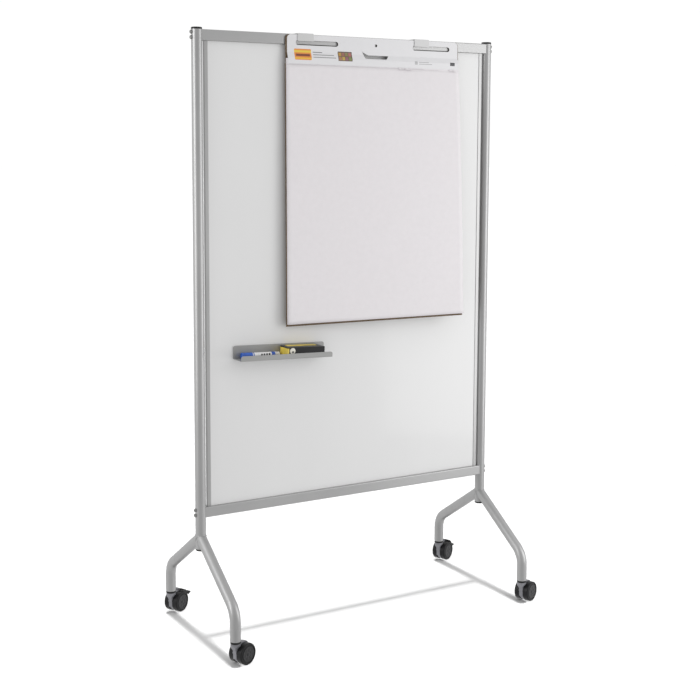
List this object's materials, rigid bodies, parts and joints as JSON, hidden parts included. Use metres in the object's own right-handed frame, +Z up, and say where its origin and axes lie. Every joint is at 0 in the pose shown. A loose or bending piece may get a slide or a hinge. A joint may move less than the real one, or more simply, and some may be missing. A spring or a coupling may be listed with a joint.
{
  "type": "rolling whiteboard",
  "caption": "Two-sided rolling whiteboard: framed steel board on tube posts and Y-shaped bases with swivel casters, with a hung flip-chart pad and a magnetic marker tray.",
  "frame": {"origin": "on the floor under the middle of the outline; the board's middle plane stands 13.5 mm to -Y and its middle 23 mm to -X of it, because the casters trail towards +X and +Y", "axes": "+Z up, +X along the board's width to the right seen from the pad side, -Y out of the pad side"},
  "size_m": [1.1307, 0.5599, 1.829],
  "materials": {
    "frame_paint": "satin silver-grey powder coat",
    "board_core": "sealed hardboard",
    "board_enamel": "glossy white dry-erase enamel",
    "black_plastic": "fine moulded texture",
    "zinc_steel": "zinc plated",
    "hood_grey": "satin moulded plastic",
    "wheel_black": "matte nylon tread",
    "hook_white": "light powder coat",
    "cardboard": "raw brown board",
    "header_card": "white coated card",
    "paper": "uncoated white paper",
    "tray_grey": "satin grey powder coat",
    "magnet": "flexible magnet sheet",
    "marker_white": "gloss moulded plastic",
    "marker_blue": "gloss moulded plastic",
    "eraser_black": "satin moulded plastic",
    "eraser_felt": "pressed felt",
    "eraser_yellow": "satin moulded plastic"
  },
  "bodies": {
    "frame": {"post_left": "frame_paint", "post_right": "frame_paint", "base_tube_left": "frame_paint", "base_tube_right": "frame_paint", "stile_left": "frame_paint", "stile_right": "frame_paint", "leg_front_left": "frame_paint", "leg_rear_left": "frame_paint", "leg_front_right": "frame_paint", "leg_rear_right": "frame_paint", "top_rail": "frame_paint", "bottom_rail": "frame_paint", "panel_core": "board_core", "front_skin": "board_enamel", "rear_skin": "board_enamel", "post_caps": "black_plastic", "base_plugs": "black_plastic", "post_spigots": "zinc_steel", "rail_inserts": "zinc_steel", "frame_bolts": "zinc_steel", "caster_sockets": "black_plastic"},
    "caster_front_left": {"caster_hood_front_left": "hood_grey", "caster_stem_front_left": "zinc_steel", "caster_axle_front_left": "zinc_steel"},
    "wheel_near_front_left": {"wheel_near_front_left": "wheel_black"},
    "wheel_far_front_left": {"wheel_far_front_left": "wheel_black"},
    "caster_rear_left": {"caster_hood_rear_left": "hood_grey", "caster_stem_rear_left": "zinc_steel", "caster_axle_rear_left": "zinc_steel", "lever_pin_rear_left": "zinc_steel"},
    "wheel_near_rear_left": {"wheel_near_rear_left": "wheel_black"},
    "wheel_far_rear_left": {"wheel_far_rear_left": "wheel_black"},
    "brake_lever_rear_left": {"brake_lever_rear_left": "black_plastic"},
    "caster_rear_right": {"caster_hood_rear_right": "hood_grey", "caster_stem_rear_right": "zinc_steel", "caster_axle_rear_right": "zinc_steel", "lever_pin_rear_right": "zinc_steel"},
    "wheel_near_rear_right": {"wheel_near_rear_right": "wheel_black"},
    "wheel_far_rear_right": {"wheel_far_rear_right": "wheel_black"},
    "brake_lever_rear_right": {"brake_lever_rear_right": "black_plastic"},
    "caster_front_right": {"caster_hood_front_right": "hood_grey", "caster_stem_front_right": "zinc_steel", "caster_axle_front_right": "zinc_steel"},
    "wheel_near_front_right": {"wheel_near_front_right": "wheel_black"},
    "wheel_far_front_right": {"wheel_far_front_right": "wheel_black"},
    "pad": {"pad_head": "cardboard", "pad_backing": "cardboard", "pad_header": "header_card", "pad_sheets": "paper"},
    "page": {"top_sheet": "paper"},
    "hook_left": {"hook_left": "hook_white"},
    "hook_right": {"hook_right": "hook_white"},
    "tray": {"tray": "tray_grey", "tray_magnets": "magnet"},
    "marker": {"marker_barrel": "marker_white"},
    "marker_cap": {"marker_cap": "marker_blue"},
    "eraser": {"eraser_box": "eraser_black", "eraser_felt": "eraser_felt", "eraser_trim": "eraser_yellow"}
  },
  "joints": [
    {"name": "swivel_front_left", "type": "hinge", "parent": "frame", "child": "caster_front_left", "pos_m": [-0.5405, -0.2535, 0.0745], "axis": [0, 0, 1], "continuous": true},
    {"name": "spin_near_front_left", "type": "hinge", "parent": "caster_front_left", "child": "wheel_near_front_left", "pos_m": [-0.51436, -0.24347, 0.032], "axis": [-0.3584, 0.9336, 0], "continuous": true},
    {"name": "spin_far_front_left", "type": "hinge", "parent": "caster_front_left", "child": "wheel_far_front_left", "pos_m": [-0.51436, -0.24347, 0.032], "axis": [-0.3584, 0.9336, 0], "continuous": true},
    {"name": "swivel_rear_left", "type": "hinge", "parent": "frame", "child": "caster_rear_left", "pos_m": [-0.5405, 0.2265, 0.0745], "axis": [0, 0, 1], "continuous": true},
    {"name": "spin_near_rear_left", "type": "hinge", "parent": "caster_rear_left", "child": "wheel_near_rear_left", "pos_m": [-0.51625, 0.2405, 0.032], "axis": [-0.5, 0.866, 0], "continuous": true},
    {"name": "spin_far_rear_left", "type": "hinge", "parent": "caster_rear_left", "child": "wheel_far_rear_left", "pos_m": [-0.51625, 0.2405, 0.032], "axis": [-0.5, 0.866, 0], "continuous": true},
    {"name": "brake_rear_left", "type": "hinge", "parent": "caster_rear_left", "child": "brake_lever_rear_left", "pos_m": [-0.51093, 0.24357, 0.06686], "axis": [-0.5, 0.866, 0], "range_deg": [0, 8]},
    {"name": "swivel_rear_right", "type": "hinge", "parent": "frame", "child": "caster_rear_right", "pos_m": [0.4945, 0.2265, 0.0745], "axis": [0, 0, 1], "continuous": true},
    {"name": "spin_near_rear_right", "type": "hinge", "parent": "caster_rear_right", "child": "wheel_near_rear_right", "pos_m": [0.51988, 0.23833, 0.032], "axis": [-0.4226, 0.9063, 0], "continuous": true},
    {"name": "spin_far_rear_right", "type": "hinge", "parent": "caster_rear_right", "child": "wheel_far_rear_right", "pos_m": [0.51988, 0.23833, 0.032], "axis": [-0.4226, 0.9063, 0], "continuous": true},
    {"name": "brake_rear_right", "type": "hinge", "parent": "caster_rear_right", "child": "brake_lever_rear_right", "pos_m": [0.52545, 0.24093, 0.06686], "axis": [-0.4226, 0.9063, 0], "range_deg": [-8, 0]},
    {"name": "swivel_front_right", "type": "hinge", "parent": "frame", "child": "caster_front_right", "pos_m": [0.4945, -0.2535, 0.0745], "axis": [0, 0, 1], "continuous": true},
    {"name": "spin_near_front_right", "type": "hinge", "parent": "caster_front_right", "child": "wheel_near_front_right", "pos_m": [0.52046, -0.24301, 0.032], "axis": [-0.3746, 0.9272, 0], "continuous": true},
    {"name": "spin_far_front_right", "type": "hinge", "parent": "caster_front_right", "child": "wheel_far_front_right", "pos_m": [0.52046, -0.24301, 0.032], "axis": [-0.3746, 0.9272, 0], "continuous": true},
    {"name": "pad_slide", "type": "slide", "parent": "frame", "child": "pad", "axis": [1, 0, 0], "range_m": [-0.25, 0.1]},
    {"name": "hook_left_slide", "type": "slide", "parent": "pad", "child": "hook_left", "axis": [1, 0, 0], "range_m": [0, 0.077]},
    {"name": "hook_right_slide", "type": "slide", "parent": "pad", "child": "hook_right", "axis": [1, 0, 0], "range_m": [0, 0.071]},
    {"name": "page_turn", "type": "hinge", "parent": "pad", "child": "page", "pos_m": [0.0545, -0.0382, 1.733], "axis": [-1, 0, 0], "range_deg": [0, 165]},
    {"name": "tray_slide", "type": "slide", "parent": "frame", "child": "tray", "axis": [1, 0, 0], "range_m": [-0.07, 0.55]},
    {"name": "marker_slide", "type": "slide", "parent": "tray", "child": "marker", "axis": [-0.9995, 0, 0.0314], "range_m": [0, 0.1]},
    {"name": "marker_cap_pull", "type": "slide", "parent": "marker", "child": "marker_cap", "axis": [-0.9995, 0, 0.0314], "range_m": [0, 0.06]},
    {"name": "eraser_lift", "type": "slide", "parent": "tray", "child": "eraser", "axis": [0, 0, 1], "range_m": [0, 0.045]}
  ]
}
